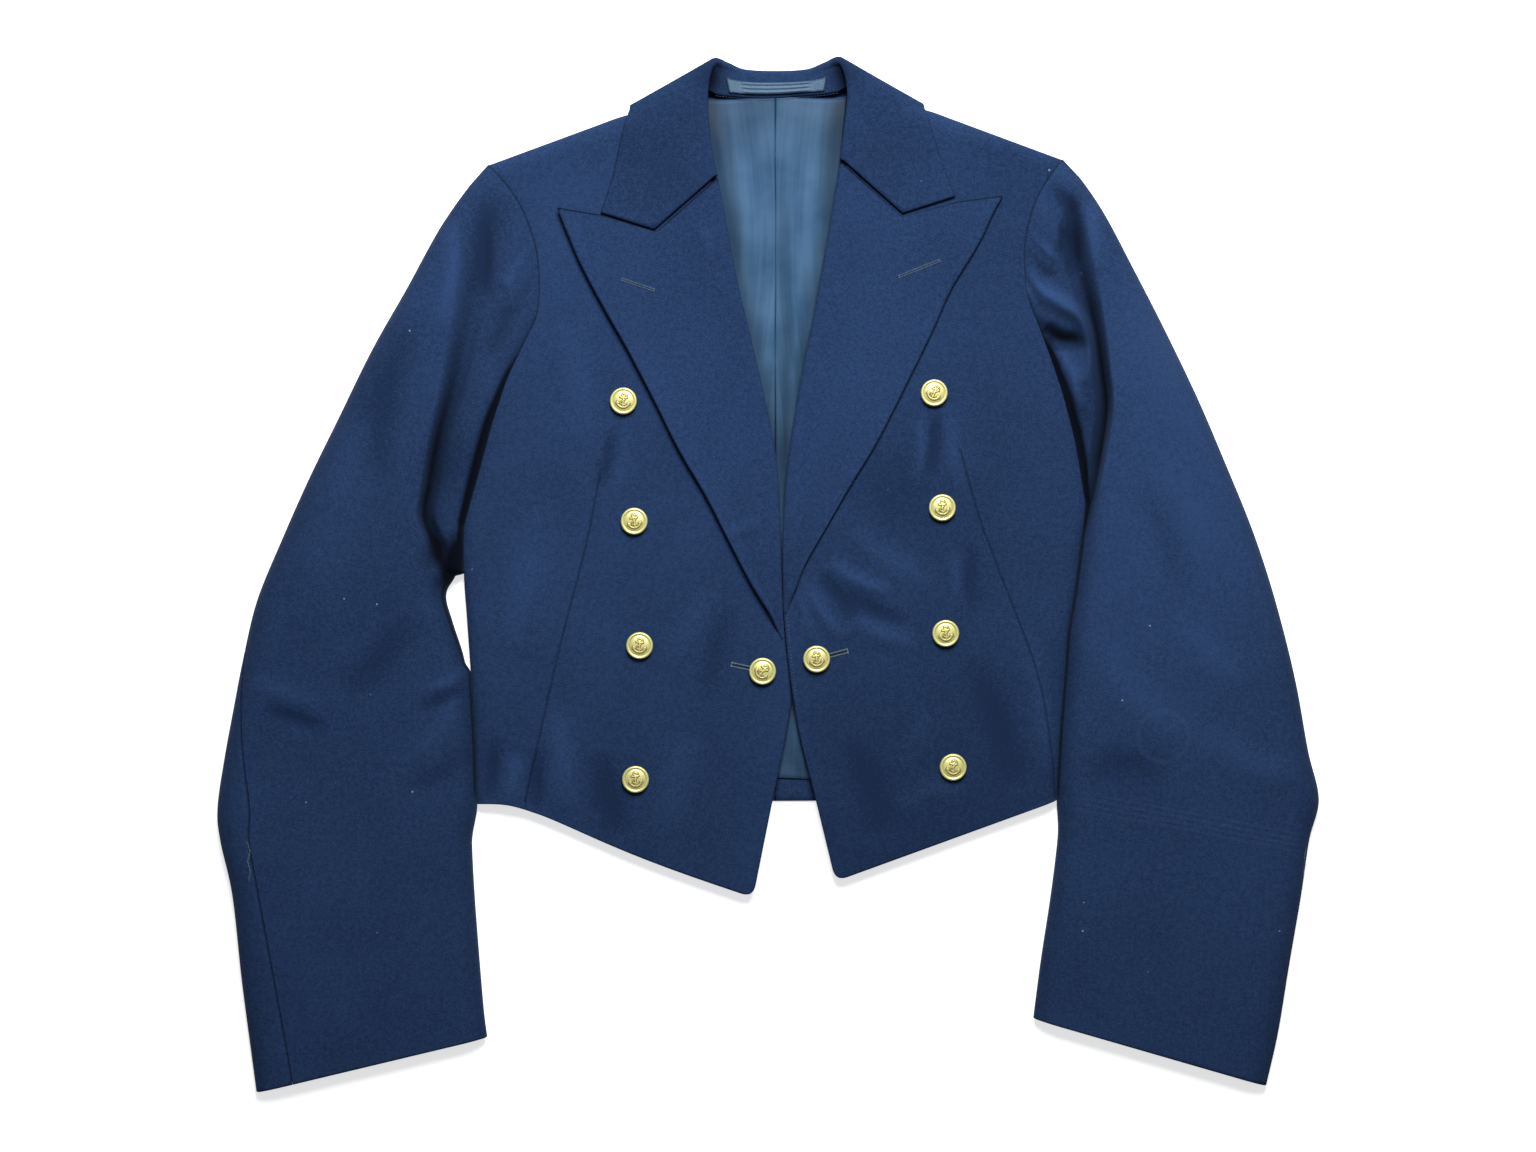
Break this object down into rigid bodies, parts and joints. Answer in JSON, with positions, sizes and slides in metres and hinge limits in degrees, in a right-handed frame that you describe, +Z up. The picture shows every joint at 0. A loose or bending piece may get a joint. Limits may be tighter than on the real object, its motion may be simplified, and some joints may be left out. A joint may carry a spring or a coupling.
{
  "type": "mess jacket",
  "caption": "Short navy mess jacket with wide peaked lapels, folded collar, long two-piece sleeves and gilt domed buttons, laid flat with its front up.",
  "frame": {"origin": "centre of the bounding box, on the surface that the jacket lies on", "axes": "+Z up from the surface, +Y toward the collar, +X toward the wearer's left sleeve"},
  "size_m": [0.818, 0.767, 0.026],
  "materials": {
    "navy_wool": "matt milled wool",
    "blue_satin": "soft satin",
    "blue_ribbon": "woven ribbon",
    "gilt": "gilt, polished and lightly worn"
  },
  "bodies": {
    "root": {"back_left": "navy_wool", "back_right": "navy_wool", "front_left": "navy_wool", "front_right": "navy_wool", "lapel_left": "navy_wool", "lapel_right": "navy_wool", "collar": "navy_wool", "topsleeve_left": "navy_wool", "topsleeve_right": "navy_wool", "undersleeve_left": "navy_wool", "undersleeve_right": "navy_wool", "lining_left": "blue_satin", "lining_right": "blue_satin", "hanger_loop": "blue_ribbon", "button_left_1": "gilt", "button_left_2": "gilt", "button_left_3": "gilt", "button_left_4": "gilt", "button_right_1": "gilt", "button_right_2": "gilt", "button_right_3": "gilt", "button_right_4": "gilt", "link_button_left": "gilt", "link_button_right": "gilt"}
  },
  "joints": []
}
